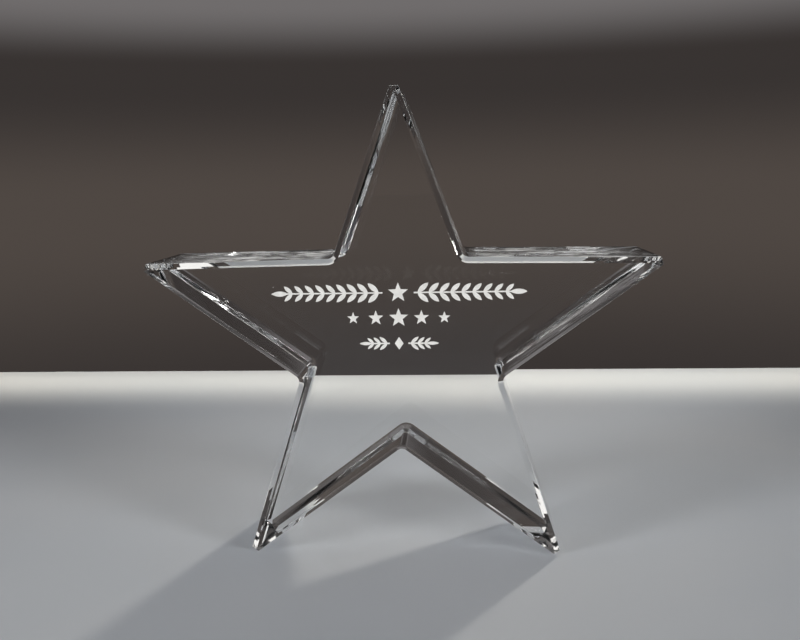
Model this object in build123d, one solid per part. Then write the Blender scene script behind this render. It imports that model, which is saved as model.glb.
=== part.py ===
from build123d import *
import os
from math import cos, pi, sin

# Star trophy: one block of clear crystal cut as a five-pointed star, which stands on its two
# lower points, with an ornament frosted into the front face in three rows.
# Millimetres. +Z is up, the front faces -Y, and the origin is under the middle of the star,
# on the surface that it stands on.

# Driving dimensions of the block.
overall_width = 100.0  # across the two side points
thickness = 24.0  # front face to back face
notch_ratio = 0.3815  # radius of the inner corners over radius of the points
notch_shift = (0.6, 0, -0.45, 0, 0.6)  # further out, for the five notches from the upper left one
top_point_short = 3.0  # how much less the top point reaches than the other four
tip_cut = 2.4  # length ground off each point, square to the point's own axis
bevel = 1.0  # 45 degree bevel round the front and the back
notch_round = 1.4  # radius in the bottom of each notch

# Driving dimensions of the frosted ornament.
engraving_depth = 0.15
upper_row_rise = 10.8  # middle of each row, above the middle of the star
middle_row_rise = 5.9
lower_row_rise = 0.9
stem_width = 0.28
leaf_root = 0.5  # how far the end leaf of a sprig starts back along its stem
garland_length = 49.2  # upper row
garland_gap = 3.0  # from the middle of the row to where a sprig starts
garland_leaf = (2.8, 0.5)  # length and half width of a leaf
garland_pairs = 9  # pairs of leaves on each side
garland_lean = 42  # degrees between a leaf and its stem
garland_star = 2.0  # point radius of the star in the middle
star_row = (1.2, 1.5, 1.9, 1.5, 1.2)  # middle row: point radius of each small star
star_row_pitch = 4.4
star_waist = 0.42  # inner over outer radius of a small star
flourish_length = 15.4  # lower row
flourish_gap = 1.8
flourish_leaf = (2.0, 0.32)
flourish_pairs = 3
flourish_lean = 40
lozenge_size = (1.7, 2.5)

POINTS = 5
STEP = 2 * pi / POINTS


def polar(radius, angle):
    """A point at a radius and an angle from straight up, anticlockwise seen from the front."""
    return Vector(-radius * sin(angle), radius * cos(angle))


def flat_half_width(point, notch):
    """Half width of the ground flat on a point, from the slope of the point's two sides."""
    return tip_cut * notch * sin(STEP / 2) / (point - notch * cos(STEP / 2))


# The side points lie one step from straight up, so their outer corners give the radius.
flat_half = flat_half_width(1, notch_ratio)
flat_radius = (overall_width / 2 - flat_half * cos(STEP)) / sin(STEP)
point_radius = flat_radius + tip_cut
notch_radius = notch_ratio * point_radius

# The inner corners of the flats on the two lower points touch the ground.
foot_angle = 2 * STEP
centre_height = flat_half * sin(foot_angle) - flat_radius * cos(foot_angle)


def star_outline():
    """The star seen from the front: five ground points between five rounded notches."""
    corners = []
    notches = []
    for number in range(POINTS):
        angle = number * STEP
        reach = point_radius - top_point_short if number == 0 else point_radius
        along_flat = polar(flat_half_width(reach, notch_radius), angle + pi / 2)
        middle = polar(reach - tip_cut, angle)
        notch = polar(notch_radius + notch_shift[number], angle + STEP / 2)
        corners += [middle - along_flat, middle + along_flat, notch]
        notches.append(notch)
    outline = Polygon(*corners, align=None)
    inner = [v for v in outline.vertices() if any((Vector(v) - n).length < 1e-6 for n in notches)]
    return fillet(inner, notch_round)


def crystal_block():
    """The star cut through the full thickness, with both faces bevelled all round."""
    block = extrude(Plane.XZ * star_outline(), amount=thickness / 2, both=True)
    faces = block.faces().sort_by(Axis.Y)
    rims = faces[0].edges() + faces[-1].edges()
    return Pos(0, 0, centre_height) * chamfer(rims, bevel)


def leaf(length, half_width):
    """A pointed leaf along +X from the origin: two arcs that meet at both ends."""
    upper = ThreePointArc((0, 0), (length / 2, half_width), (length, 0))
    lower = ThreePointArc((length, 0), (length / 2, -half_width), (0, 0))
    return make_face(upper + lower)


def small_star(radius):
    """A five-pointed star with straight sides, one point up."""
    corners = []
    for number in range(2 * POINTS):
        reach = radius if number % 2 == 0 else star_waist * radius
        corners.append(polar(reach, number * STEP / 2))
    return Polygon(*corners, align=None)


def sprig(start, end, pairs, leaf_size, lean):
    """Half of a garland along +X: a stem with pairs of leaves that get shorter outwards."""
    length, half_width = leaf_size
    stem_end = end - length
    branch = Pos((start + stem_end) / 2, 0) * Rectangle(stem_end - start, stem_width)
    branch += Pos(stem_end - leaf_root, 0) * leaf(length + leaf_root, half_width)
    for number in range(pairs):
        share = number / pairs
        size = 1 - 0.25 * share
        place = start + (stem_end - start) * (number + 0.35) / pairs
        for side in (1, -1):
            turned = Rot(0, 0, side * lean) * leaf(length * size, half_width * size)
            branch += Pos(place, 0) * turned
    return branch


def garland():
    """Upper row: two laurel sprigs that grow outwards from a small star."""
    right = sprig(garland_gap, garland_length / 2, garland_pairs, garland_leaf, garland_lean)
    return [small_star(garland_star), right, mirror(right, Plane.YZ)]


def star_line():
    """Middle row: five small stars, largest in the middle."""
    first = -star_row_pitch * (len(star_row) - 1) / 2
    return [Pos(first + star_row_pitch * n, 0) * small_star(r) for n, r in enumerate(star_row)]


def flourish():
    """Lower row: a lozenge between two short sprigs."""
    right = sprig(flourish_gap, flourish_length / 2, flourish_pairs, flourish_leaf, flourish_lean)
    half_w, half_h = lozenge_size[0] / 2, lozenge_size[1] / 2
    lozenge = Polygon((0, half_h), (-half_w, 0), (0, -half_h), (half_w, 0), align=None)
    return [lozenge, right, mirror(right, Plane.YZ)]


def frosted_row(shapes, rise):
    """Shapes sunk into the front face by the engraving depth, flush with its surface."""
    pocket_floor = Plane.XZ.offset(thickness / 2 - engraving_depth)
    solids = []
    for shape in shapes:
        sunk = extrude(pocket_floor * shape, amount=engraving_depth)
        solids += [Pos(0, 0, centre_height + rise) * solid for solid in sunk.solids()]
    return solids


rows = {
    "engraving_upper_row": frosted_row(garland(), upper_row_rise),
    "engraving_middle_row": frosted_row(star_line(), middle_row_rise),
    "engraving_lower_row": frosted_row(flourish(), lower_row_rise),
}
nodes = {name: Compound(children=solids) for name, solids in rows.items()}

star_block = crystal_block()
for solids in rows.values():
    star_block -= solids
nodes["star_block"] = star_block

os.makedirs("parts", exist_ok=True)
for name, shape in nodes.items():
    shape.label = name
    export_step(shape, f"parts/{name}.step")
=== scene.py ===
import math

import bpy
import numpy as np
from mathutils import Matrix, Vector


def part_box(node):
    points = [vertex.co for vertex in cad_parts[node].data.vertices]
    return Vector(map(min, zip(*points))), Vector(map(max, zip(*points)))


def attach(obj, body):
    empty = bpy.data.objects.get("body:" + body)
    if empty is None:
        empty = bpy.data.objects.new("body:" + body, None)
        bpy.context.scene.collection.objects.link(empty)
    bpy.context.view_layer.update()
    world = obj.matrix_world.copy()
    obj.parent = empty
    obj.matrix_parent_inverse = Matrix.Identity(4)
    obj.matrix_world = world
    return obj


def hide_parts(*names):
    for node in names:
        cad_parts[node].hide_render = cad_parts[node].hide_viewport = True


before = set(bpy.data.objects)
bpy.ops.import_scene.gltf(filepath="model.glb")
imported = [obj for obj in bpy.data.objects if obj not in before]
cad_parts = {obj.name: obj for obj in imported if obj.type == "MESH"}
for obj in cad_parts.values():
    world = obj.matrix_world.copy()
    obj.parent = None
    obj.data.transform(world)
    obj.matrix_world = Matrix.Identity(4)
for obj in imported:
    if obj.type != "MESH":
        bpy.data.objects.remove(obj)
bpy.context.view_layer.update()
MM = 0.001


# ---------------------------------------------------------------- camera
# A hand-held camera, a little above the star and to the right of its middle. It looks slightly
# down at the star and isn't quite level.

camera_place = Vector((11.8, -169.75, 75.85)) * MM
turn_left = 0.0730  # this and the next two are in radians
look_down = 0.1726
lean = -0.0223  # how far its right side is tipped up

camera = bpy.data.cameras.new("camera")
camera.sensor_width = 36.0
camera.lens = 37.53
camera.clip_start = 1 * MM
camera.clip_end = 20.0
viewer = bpy.data.objects.new("camera", camera)
bpy.context.scene.collection.objects.link(viewer)
ahead = Vector((
    -math.sin(turn_left) * math.cos(look_down),
    math.cos(turn_left) * math.cos(look_down),
    -math.sin(look_down),
))
level = ahead.cross(Vector((0, 0, 1))).normalized()
above = level.cross(ahead)
right = math.cos(lean) * level + math.sin(lean) * above
up = math.cos(lean) * above - math.sin(lean) * level
viewer.matrix_world = Matrix.Translation(camera_place) @ Matrix((right, up, -ahead)).transposed().to_4x4()
bpy.context.scene.camera = viewer


# ---------------------------------------------------------------- crystal block
# One block of clear crystal, sawn to a star, with its walls ground and its two faces polished.
# Both faces have a 45 degree bevel all round, with a narrow facet between the face and the bevel,
# and polishing has just broken each sharp edge. The tops of the side arms are left satin.

POINTS = 5
STEP = 2 * math.pi / POINTS
low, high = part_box("star_block")
notch_ratio = 0.3815  # radius of the inner corners over radius of the points
notch_shift = np.array([0.6, 0, -0.45, 0, 0.6]) * MM  # further out, from the upper left notch
top_point_short = 3.0 * MM  # how much less the top point reaches than the other four
tip_cut = 2.4 * MM  # length ground off each point
least_flat = 0.01 * MM  # half width left of a ground flat where its two sides would meet
bevel = 1.0 * MM
notch_round = 1.4 * MM
tip_round = 0.08 * MM
edge_round = 0.3 * MM  # between a bevel and the wall
facet_width = 0.42 * MM
facet_tilt = math.radians(34)
facet_round = 0.12 * MM
frost_stands = 0.02 * MM  # how far the frosting rises over the polished face

# How wavy each side came out, anticlockwise from the left side of the top point.
SIDE_WAVES = (0.03, 1.3, 0.015, 0.06, 0.015, 0.015, 0.06, 0.15, 1.0, 0.25)
WAVES = 18
wave_length = 3.0 * MM
wave_turn = 0.4
wave_slope = 0.1
bevel_fade = 1.0 * MM  # over which the waves grow from a bevel, a notch and a point
notch_fade = 4.0 * MM
point_fade = 10.0 * MM

# Into how many steps the mesh divides each stretch of the block.
ARC_STEPS = 8
FLAT_STEPS = 3
SIDE_STEPS = 60
WALL_STEPS = 72
EDGE_STEPS = 6


def flat_half_width(point, notch):
    """Half width of the ground flat on a point, from the slope of the point's two sides."""
    return tip_cut * notch * math.sin(STEP / 2) / (point - notch * math.cos(STEP / 2))


# The side points lie one step from straight up, so their outer corners give the radius. The inner
# corners of the flats on the two lower points touch the ground, which gives the middle's height.
side_flat = flat_half_width(1, notch_ratio)
flat_radius = ((high.x - low.x) / 2 - side_flat * math.cos(STEP)) / math.sin(STEP)
point_radius = flat_radius + tip_cut
notch_radius = notch_ratio * point_radius
centre_height = low.z + side_flat * math.sin(2 * STEP) - flat_radius * math.cos(2 * STEP)


def polar(radius, angle):
    """A point at a radius and an angle from straight up, anticlockwise seen from the front."""
    return np.array([-radius * math.sin(angle), radius * math.cos(angle)])


def star_corners():
    """The fifteen sharp corners, anticlockwise: two on each ground point and one in each notch."""
    corners = []
    for number in range(POINTS):
        angle = number * STEP
        reach = point_radius - top_point_short if number == 0 else point_radius
        along = polar(flat_half_width(reach, notch_radius), angle + math.pi / 2)
        middle = polar(reach - tip_cut, angle)
        notch = polar(notch_radius + notch_shift[number], angle + STEP / 2)
        corners += [middle - along, middle + along, notch]
    return np.array(corners) + [0, centre_height]


def side_normals(corners):
    """The outward normal of the side that starts at each corner, for an anticlockwise polygon."""
    along = np.roll(corners, -1, axis=0) - corners
    along /= np.linalg.norm(along, axis=1)[:, None]
    return np.stack([along[:, 1], -along[:, 0]], axis=1)


def arcs(corners, before, after, radii, steps):
    """An arc in each corner: centre + r n, where n turns evenly from the normal before to after.

    The centre is corner - r (before + after) / (1 + before . after), so the arc meets both sides.
    A negative r gives the arc of an inner corner. Returns the arcs' points and their normals.
    """
    cosine = np.sum(before * after, axis=1)
    sine = before[:, 0] * after[:, 1] - before[:, 1] * after[:, 0]
    start = np.arctan2(before[:, 1], before[:, 0])
    angle = start[:, None] + np.arctan2(sine, cosine)[:, None] * np.linspace(0, 1, steps + 1)
    normal = np.stack([np.cos(angle), np.sin(angle)], axis=2)
    centre = corners - radii[:, None] * (before + after) / (1 + cosine)[:, None]
    return centre[:, None] + radii[:, None, None] * normal, normal


def along_flats(after):
    """Unit vectors along the flats of the points, from each flat's first corner to its second."""
    return np.stack([-after[0::3, 1], after[0::3, 0]], axis=1)


def close_flats(corners, before, after):
    """Where a flat has narrowed past least_flat, its two corners go to where its two sides meet.

    Sides n1 . x = d1 and n2 . x = d2 meet at ((d1 - c d2) n1 + (d2 - c d1) n2) / (1 - c^2), where
    c = n1 . n2. The corners stay least_flat to each side of that, so that no face is empty.
    """
    along = along_flats(after)
    half = np.sum((corners[1::3] - corners[0::3]) * along, axis=1)[:, None] / 2
    first, second = before[0::3], after[1::3]
    cosine = np.sum(first * second, axis=1)[:, None]
    reach_1 = np.sum(first * corners[0::3], axis=1)[:, None]
    reach_2 = np.sum(second * corners[1::3], axis=1)[:, None]
    meeting = (reach_1 - cosine * reach_2) * first + (reach_2 - cosine * reach_1) * second
    meeting /= 1 - cosine ** 2
    closed = corners.copy()
    closed[0::3] = np.where(half < least_flat, meeting - least_flat * along, corners[0::3])
    closed[1::3] = np.where(half < least_flat, meeting + least_flat * along, corners[1::3])
    return closed


def side_steps(number):
    """How many steps divide the side that follows a corner: few on a flat, many on a long side."""
    return FLAT_STEPS if number % 3 == 0 else SIDE_STEPS


def star_ring(inset):
    """The star's outline with every side moved inwards by inset: points and outward normals.

    A corner moves by inset (a + b) / (1 + a . b), where a and b are the normals beside it, and is
    then rounded, by no more than 0.6 of its flat. Sides are divided evenly between their arcs.
    """
    corners = star_corners()
    after = side_normals(corners)
    before = np.roll(after, 1, axis=0)
    cosine = np.sum(before * after, axis=1)[:, None]
    corners = close_flats(corners - inset * (before + after) / (1 + cosine), before, after)
    half = np.sum((corners[1::3] - corners[0::3]) * along_flats(after), axis=1) / 2
    radii = np.repeat(np.minimum(tip_round, 0.6 * half), 3)
    radii[2::3] = -(notch_round + inset)
    arc, turned = arcs(corners, before, after, radii, ARC_STEPS)
    points, normals = [], []
    for number in range(len(corners)):
        following = (number + 1) % len(corners)
        share = np.linspace(0, 1, side_steps(number) + 1)[1:-1, None]
        gap = arc[following, 0] - arc[number, -1]
        points += [arc[number], arc[number, -1] + gap * share]
        normals += [turned[number], np.repeat(turned[number, -1:], len(share), axis=0)]
    return np.concatenate(points), np.concatenate(normals)


def edge_profile():
    """From the front face over bevel, wall and bevel to the back face: how far out, y, and normal.

    A facet at facet_tilt to the face cuts the edge of face and bevel. It starts facet_width times
    cos - sin of its tilt inside that edge, so that it ends on the bevel's 45 degree line.
    """
    front, back = low.y + frost_stands, high.y
    start = -bevel - facet_width * (math.cos(facet_tilt) - math.sin(facet_tilt))
    end, rise = start + facet_width * math.cos(facet_tilt), facet_width * math.sin(facet_tilt)
    corners = np.array([
        (-2 * bevel, front), (start, front), (end, front + rise), (0, front + bevel),
        (0, back - bevel), (end, back - rise), (start, back), (-2 * bevel, back),
    ])
    radii = np.array([facet_round, facet_round, edge_round, edge_round, facet_round, facet_round])
    normals = side_normals(corners)[:-1]
    arc, turned = arcs(corners[1:-1], normals[:-1], normals[1:], radii, EDGE_STEPS)
    wall = np.linspace(arc[2, -1], arc[3, 0], WALL_STEPS + 1)[1:-1]
    outward = np.repeat(turned[2, -1:], len(wall), axis=0)
    points = [*arc[:3], wall, *arc[3:]]
    return np.concatenate(points), np.concatenate([*turned[:3], outward, *turned[3:]])


def grinding_waves(along, depth):
    """Height and slopes of the waves that grinding leaves: a sum of sines, mostly across the wall."""
    random = np.random.default_rng(5)
    height = np.zeros(along.shape)
    slope_along = np.zeros(along.shape)
    slope_depth = np.zeros(along.shape)
    for _ in range(WAVES):
        length = wave_length * 2 ** random.uniform(-0.6, 1)
        heading = math.pi / 2 + random.uniform(-1, 1) * wave_turn
        phase = random.uniform(0, 2 * math.pi)
        k = 2 * math.pi / length
        size = wave_slope / k * (2 / WAVES) ** 0.5
        argument = k * (along * math.cos(heading) + depth * math.sin(heading)) + phase
        height += size * np.sin(argument)
        slope_along += size * k * math.cos(heading) * np.cos(argument)
        slope_depth += size * k * math.sin(heading) * np.cos(argument)
    return height - height.max(), slope_along, slope_depth


def smooth_step(value):
    """0 below 0, 1 above 1 and 3 v^2 - 2 v^3 between them."""
    value = np.clip(value, 0, 1)
    return value * value * (3 - 2 * value)


def wave_share(y):
    """How much of the waves each place on the skin has.

    It is the side's own waviness, times a smooth step of the distance from the bevel, from the
    nearest notch and from the nearest point.
    """
    outline = star_ring(0)[0]
    away = np.linalg.norm(outline[:, None] - star_corners()[None], axis=2)
    from_notch = away[:, 2::3].min(axis=1)
    from_point = np.minimum(away[:, 0::3], away[:, 1::3]).min(axis=1)
    fade = smooth_step((high.y - bevel - np.abs(y)) / bevel_fade)
    fade = fade * smooth_step(from_notch / notch_fade) * smooth_step(from_point / point_fade)
    strength = np.zeros(3 * POINTS)
    strength[1::3], strength[2::3] = SIDE_WAVES[0::2], SIDE_WAVES[1::2]
    shares = [ARC_STEPS + side_steps(number) for number in range(3 * POINTS)]
    return fade * np.repeat(strength, shares)


def carry(profile, facing):
    """The block's skin: the profile carried round the star, with waves on the walls.

    Each place is moved along its normal by the height of the waves there, and the normal is tilted
    back by their slopes. Returns the places, the normals and the share of the waves.
    """
    rings = [star_ring(-out) for out, _ in profile]
    flat = np.array([points for points, _ in rings])
    outward = np.array([normals for _, normals in rings])
    count = flat.shape[1]
    y = np.repeat(profile[:, 1:], count, axis=1)
    outline = star_ring(0)[0]
    step = np.linalg.norm(np.roll(outline, -1, axis=0) - outline, axis=1)
    along = np.concatenate([[0], np.cumsum(step)[:-1]])
    height, slope_along, slope_depth = grinding_waves(np.repeat(along[None], len(y), axis=0), y)
    share = wave_share(y)
    out = facing[:, :1]
    normal = np.stack([
        out * outward[..., 0], np.repeat(facing[:, 1:], count, axis=1), out * outward[..., 1],
    ], axis=2)
    tangent = np.stack([-outward[..., 1], 0 * y, outward[..., 0]], axis=2)
    places = np.stack([flat[..., 0], y, flat[..., 1]], axis=2) + normal * (height * share)[..., None]
    normal = normal - (slope_along * share)[..., None] * tangent
    normal[..., 1] -= slope_depth * share
    return places, normal / np.linalg.norm(normal, axis=2)[..., None], share


def closed_skin(name, places, normals):
    """A mesh from a grid of rings, closed at each end by a flat fan, with the given normals.

    The middle of a fan is the mean of its ring, and every side of the star can be seen from there.
    """
    rings, count, _ = places.shape
    number = np.arange(rings * count).reshape(rings, count)
    beside = np.roll(number, -1, axis=1)
    quads = np.stack([number[:-1], number[1:], beside[1:], beside[:-1]], axis=2).reshape(-1, 4)
    middle = np.full(count, rings * count)
    first = np.stack([middle, number[0], beside[0]], axis=1)
    last = np.stack([middle + 1, beside[-1], number[-1]], axis=1)
    points = np.concatenate([places.reshape(-1, 3), places[[0, -1]].mean(axis=1)])
    facing = np.concatenate([normals.reshape(-1, 3), normals[[0, -1]].mean(axis=1)])
    mesh = bpy.data.meshes.new(name)
    mesh.from_pydata(points.tolist(), [], quads.tolist() + first.tolist() + last.tolist())
    mesh.shade_smooth()
    mesh.normals_split_custom_set_from_vertices(facing.tolist())
    piece = bpy.data.objects.new(name, mesh)
    bpy.context.scene.collection.objects.link(piece)
    return piece


class Wire:
    """An output of a shader node. Adding it, multiplying it and taking it from a number add Math
    nodes, and a number may stand on either side of + and *."""

    def __init__(self, tree, socket=None):
        self.tree = tree
        self.socket = socket

    def add(self, kind, settings=None, inputs=None, output=0):
        """Adds a node of a kind, with its settings and the values or wires of its sockets."""
        node = self.tree.nodes.new(kind)
        for key, value in (settings or {}).items():
            setattr(node, key, value)
        for key, value in (inputs or {}).items():
            if isinstance(value, Wire):
                self.tree.links.new(value.socket, node.inputs[key])
            else:
                node.inputs[key].default_value = value
        return Wire(self.tree, node.outputs[output]) if node.outputs else None

    def math(self, operation, first, second):
        return self.add("ShaderNodeMath", {"operation": operation}, {0: first, 1: second})

    def __add__(self, other):
        return self.math("ADD", self, other)

    def __mul__(self, other):
        return self.math("MULTIPLY", self, other)

    def __rsub__(self, other):
        return self.math("SUBTRACT", other, self)

    __radd__ = __add__
    __rmul__ = __mul__

    def ramp(self, low, high):
        """0 below low, 1 above high and smooth between them."""
        values = {"Value": self, "From Min": low, "From Max": high}
        return self.add("ShaderNodeMapRange", {"interpolation_type": "SMOOTHSTEP"}, values)

    def blend(self, first, second):
        """The first colour where the wire is 0 and the second where it is 1."""
        values = {0: self, 6: first, 7: second}  # the factor and the two colours
        return self.add("ShaderNodeMix", {"data_type": "RGBA"}, values, output=2)


def empty_tree(tree):
    """Clears a node tree and gives a wire without a socket, from which its nodes are added."""
    tree.nodes.clear()
    return Wire(tree)


def new_material(name):
    """A material and the wire from which its nodes are added."""
    material = bpy.data.materials.new(name)
    material.use_nodes = True
    return material, empty_tree(material.node_tree)


# Ground walls are satin in streaks along the wall, in patches, and are clear between them. A few
# specks of dust lie on the block.
crystal, nodes = new_material("clear_crystal")
place = nodes.add("ShaderNodeTexCoord", output="Object")
coarse = nodes.add("ShaderNodeAttribute", {"attribute_name": "coarse"}, output="Fac")
drawn_out = nodes.add("ShaderNodeMapping", {}, {"Vector": place, "Scale": (0.3, 1, 0.3)})
streaks = nodes.add("ShaderNodeTexNoise", {}, {
    "Vector": drawn_out, "Scale": 340.0, "Detail": 5.0, "Distortion": 0.6,
})
patches = nodes.add("ShaderNodeTexNoise", {}, {"Vector": place, "Scale": 110.0, "Detail": 3.0})
satin = coarse * streaks.ramp(0.46, 0.58) * (0.4 + 0.6 * patches.ramp(0.35, 0.6))
specks = nodes.add("ShaderNodeTexVoronoi", {}, {"Vector": place, "Scale": 420.0, "Randomness": 1.0})
chance = nodes.add("ShaderNodeTexNoise", {}, {"Vector": place, "Scale": 60.0, "Detail": 2.0})
dust = (1 - specks.ramp(0.04, 0.07)) * chance.ramp(0.62, 0.72)
bump = nodes.add("ShaderNodeBump", {}, {
    "Strength": 1.0, "Distance": 0.22 * MM, "Height": streaks * coarse,
})
polished = nodes.add("ShaderNodeBsdfPrincipled", {}, {
    "Base Color": (0.99, 0.995, 0.995, 1), "Roughness": 0.03 * coarse + 0.14 * satin,
    "IOR": 1.52, "Transmission Weight": 1.0, "Normal": bump,
})
milky = nodes.add("ShaderNodeBsdfPrincipled", {}, {
    "Base Color": (0.96, 0.97, 0.98, 1), "Roughness": 0.25, "Normal": bump,
})
milkiness = 0.08 * coarse + 0.55 * satin + 0.5 * dust
glass = nodes.add("ShaderNodeMixShader", {}, {0: milkiness, 1: polished, 2: milky})
nodes.add("ShaderNodeOutputMaterial", {}, {"Surface": glass})

profile, facing = edge_profile()
places, normals, coarseness = carry(profile, facing)
block = closed_skin("crystal_star", places, normals)
stored = block.data.attributes.new("coarse", "FLOAT", "POINT")
stored.data.foreach_set("value", np.append(coarseness.ravel(), [0, 0]))
block.data.materials.append(crystal)
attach(block, "root")
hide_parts("star_block")


# ---------------------------------------------------------------- frosted engraving
# Three centred rows that a laser has roughened into the front face of the block: a white, finely
# broken surface.

frost, nodes = new_material("frosted_engraving")
place = nodes.add("ShaderNodeTexCoord", output="Object")
grain = nodes.add("ShaderNodeTexNoise", {}, {"Vector": place, "Scale": 9000.0, "Detail": 4.0})
blotch = nodes.add("ShaderNodeTexNoise", {}, {"Vector": place, "Scale": 900.0, "Detail": 3.0})
tone = 0.5 * grain.ramp(0.35, 0.65) + 0.5 * blotch.ramp(0.3, 0.7)
shade = tone.blend((0.72, 0.72, 0.7, 1), (0.93, 0.93, 0.91, 1))
bump = nodes.add("ShaderNodeBump", {}, {"Strength": 0.6, "Distance": 0.03 * MM, "Height": grain})
white = nodes.add("ShaderNodeBsdfPrincipled", {}, {
    "Base Color": shade, "Roughness": 0.55, "Normal": bump,
})
nodes.add("ShaderNodeOutputMaterial", {}, {"Surface": white})
for row in ("engraving_upper_row", "engraving_middle_row", "engraving_lower_row"):
    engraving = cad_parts[row]
    engraving.data.materials.clear()
    engraving.data.materials.append(frost)


# ---------------------------------------------------------------- table
# A pale matt laminate table, on which the star stands loose on its two lower points. The table
# ends a little way behind the star.

table_back = 150 * MM
table_front = -3.0
table_side = 1.5
table_gap = 0.05 * MM  # keeps the table's surface clear of the star's feet
corners = [
    (-table_side, table_front), (table_side, table_front),
    (table_side, table_back), (-table_side, table_back),
]
table = bpy.data.meshes.new("table")
table.from_pydata([(x, y, low.z - table_gap) for x, y in corners], [], [(0, 1, 2, 3)])
floor = bpy.data.objects.new("table", table)
bpy.context.scene.collection.objects.link(floor)
laminate, nodes = new_material("pale_table")
place = nodes.add("ShaderNodeTexCoord", output="Object")
cloud = nodes.add("ShaderNodeTexNoise", {}, {"Vector": place, "Scale": 12.0, "Detail": 3.0})
tone = cloud.ramp(0.3, 0.7).blend((0.55, 0.59, 0.65, 1), (0.59, 0.62, 0.67, 1))
surface = nodes.add("ShaderNodeBsdfPrincipled", {}, {"Base Color": tone, "Roughness": 0.6})
nodes.add("ShaderNodeOutputMaterial", {}, {"Surface": surface})
table.materials.append(laminate)


# ---------------------------------------------------------------- lights and room
# Soft boxes hang overhead and stand low on both sides in front. A large card behind the star is its
# window, a narrow warm box lights the far strip of the table, and a key lamp throws the shadow.
# Round them is a dark, warm grey room with a pale shelf high up behind the star.


def hang(name, lamp, place, aim):
    """Puts a lamp at a place in metres, facing a point, and keeps it out of the camera's sight."""
    holder = bpy.data.objects.new(name, lamp)
    holder.location = place
    holder.rotation_euler = (Vector(aim) - Vector(place)).to_track_quat("-Z", "Y").to_euler()
    holder.visible_camera = False
    bpy.context.scene.collection.objects.link(holder)
    return holder


def soft_box(name, place, aim, size, power, colour):
    """A rectangular area light, with its width and height in metres and its power in watts."""
    lamp = bpy.data.lights.new(name, "AREA")
    lamp.shape = "RECTANGLE"
    lamp.size, lamp.size_y = size
    lamp.energy = power
    lamp.color = colour
    return hang(name, lamp, place, aim)


soft_box("overhead", (0, 0.5, 1.1), (0, 0.02, 0), size=(1.2, 0.8), power=1.2, colour=(0.82, 0.91, 1.0))
for name, x in (("front_left", -0.8), ("front_right", 0.8)):
    place, colour = (x, -0.5, 0.2), (1.0, 0.99, 0.97)
    front = soft_box(name, place, (0, 0, 0.05), size=(0.3, 0.2), power=0.32, colour=colour)
    front.data.spread = math.radians(36)

# The card is seen through the crystal, and would make the table and the arms' lower bands too pale.
card = soft_box(
    "window_card", (-0.1, 0.62, 0.75), (0, 0, 0.05), size=(1.8, 0.9), power=4.9, colour=(1.0, 0.99, 0.96),
)
card.visible_diffuse = False
glow = soft_box(
    "far_glow", (-0.02, 0.135, 0.3), (-0.02, 0.135, 0), size=(0.7, 0.03), power=0.075,
    colour=(1.0, 0.91, 0.74),
)
glow.data.spread = math.radians(12)

# The key is small and bright, so its mirror images in the block would be hard white patches.
key = bpy.data.lights.new("key", "SPOT")
key.energy = 24
key.color = (1.0, 0.92, 0.78)
key.spot_size = 0.22
key.spot_blend = 1.0
key.shadow_soft_size = 0.05
key_holder = hang("key", key, (0.5, 0.95, 0.6), (0, 0.03, 0))
key_holder.visible_transmission = False
key_holder.visible_glossy = False

world = bpy.data.worlds.new("studio")
bpy.context.scene.world = world
world.use_nodes = True
nodes = empty_tree(world.node_tree)
direction = nodes.add("ShaderNodeTexCoord", output="Generated")
rise = nodes.add("ShaderNodeSeparateXYZ", {}, {0: direction}, output="Z")  # -1 down, 0 level, 1 up
towards_back = nodes.add("ShaderNodeSeparateXYZ", {}, {0: direction}, output="Y")
warmth = rise.ramp(-0.25, -0.05) * (1 - rise.ramp(-0.02, 0.1))
wall_colour = warmth.blend((0.040, 0.034, 0.032, 1), (0.078, 0.064, 0.056, 1))
shelf = rise.ramp(0.125, 0.19) * (1 - rise.ramp(0.21, 0.27)) * towards_back.ramp(0, 0.5)
colour = shelf.blend(wall_colour, (0.16, 0.15, 0.15, 1))
backdrop = nodes.add("ShaderNodeBackground", {}, {"Color": colour, "Strength": 1.0})
nodes.add("ShaderNodeOutputWorld", {}, {"Surface": backdrop})

bpy.context.scene.view_settings.view_transform = "Standard"
